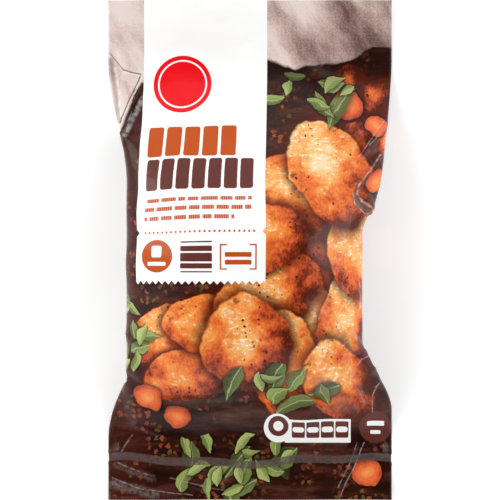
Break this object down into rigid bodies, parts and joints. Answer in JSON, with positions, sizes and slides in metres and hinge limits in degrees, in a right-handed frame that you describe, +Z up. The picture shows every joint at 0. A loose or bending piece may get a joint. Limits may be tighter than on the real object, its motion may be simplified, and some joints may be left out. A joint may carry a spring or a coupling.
{
  "type": "printed plastic bag of whole raw chicken",
  "caption": "Sealed printed plastic bag filled by a whole raw chicken, lying on its back with flat film ends and a crimped heat seal.",
  "frame": {"origin": "on the table, under the middle of the bag", "axes": "+Y along the bag to its open top edge, +Z up out of the printed front, +X to the right seen from the front"},
  "size_m": [0.25, 0.441, 0.0927],
  "materials": {
    "printed_film": "thin glossy film printed in brown, golden orange, green and white"
  },
  "bodies": {
    "root": {"filled_bag": "printed_film"}
  },
  "joints": []
}
